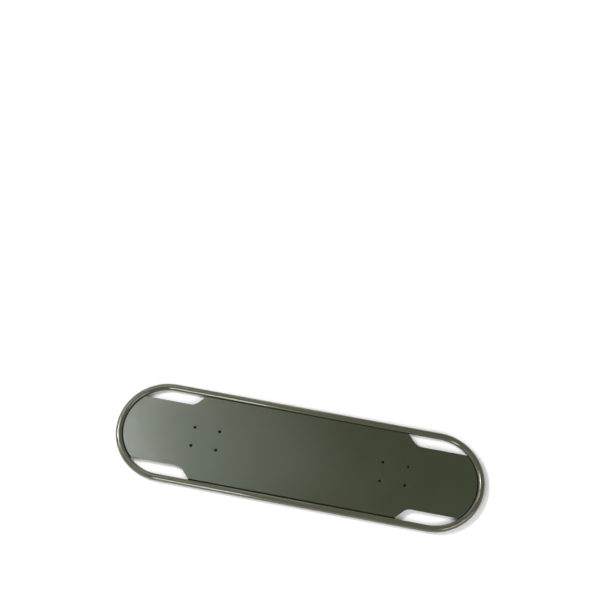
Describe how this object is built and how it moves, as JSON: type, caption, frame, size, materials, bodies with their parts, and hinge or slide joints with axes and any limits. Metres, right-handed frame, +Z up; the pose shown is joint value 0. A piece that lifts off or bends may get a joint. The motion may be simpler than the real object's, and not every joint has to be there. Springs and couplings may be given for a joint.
{
  "type": "table top",
  "caption": "Long round-ended table top: flat painted plate with corner slots and leg bolt holes, seam-welded inside a rim of bent round tube.",
  "frame": {"origin": "on the floor under the centre of the table top", "axes": "+X along the table top's length, +Y across it, +Z up out of the plate's top face"},
  "size_m": [0.7936, 0.2178, 0.0145],
  "materials": {
    "deck_paint": "satin olive drab powder coat",
    "rim_paint": "semi-gloss olive drab powder coat",
    "weld_paint": "olive drab powder coat over weld beads"
  },
  "bodies": {
    "root": {"deck_plate": "deck_paint", "rim_left_half": "rim_paint", "rim_right_half": "rim_paint", "front_rim_butt_weld": "rim_paint", "back_rim_butt_weld": "rim_paint", "front_seam_weld": "weld_paint", "back_seam_weld": "weld_paint", "left_end_seam_weld": "weld_paint", "right_end_seam_weld": "weld_paint"}
  },
  "joints": []
}
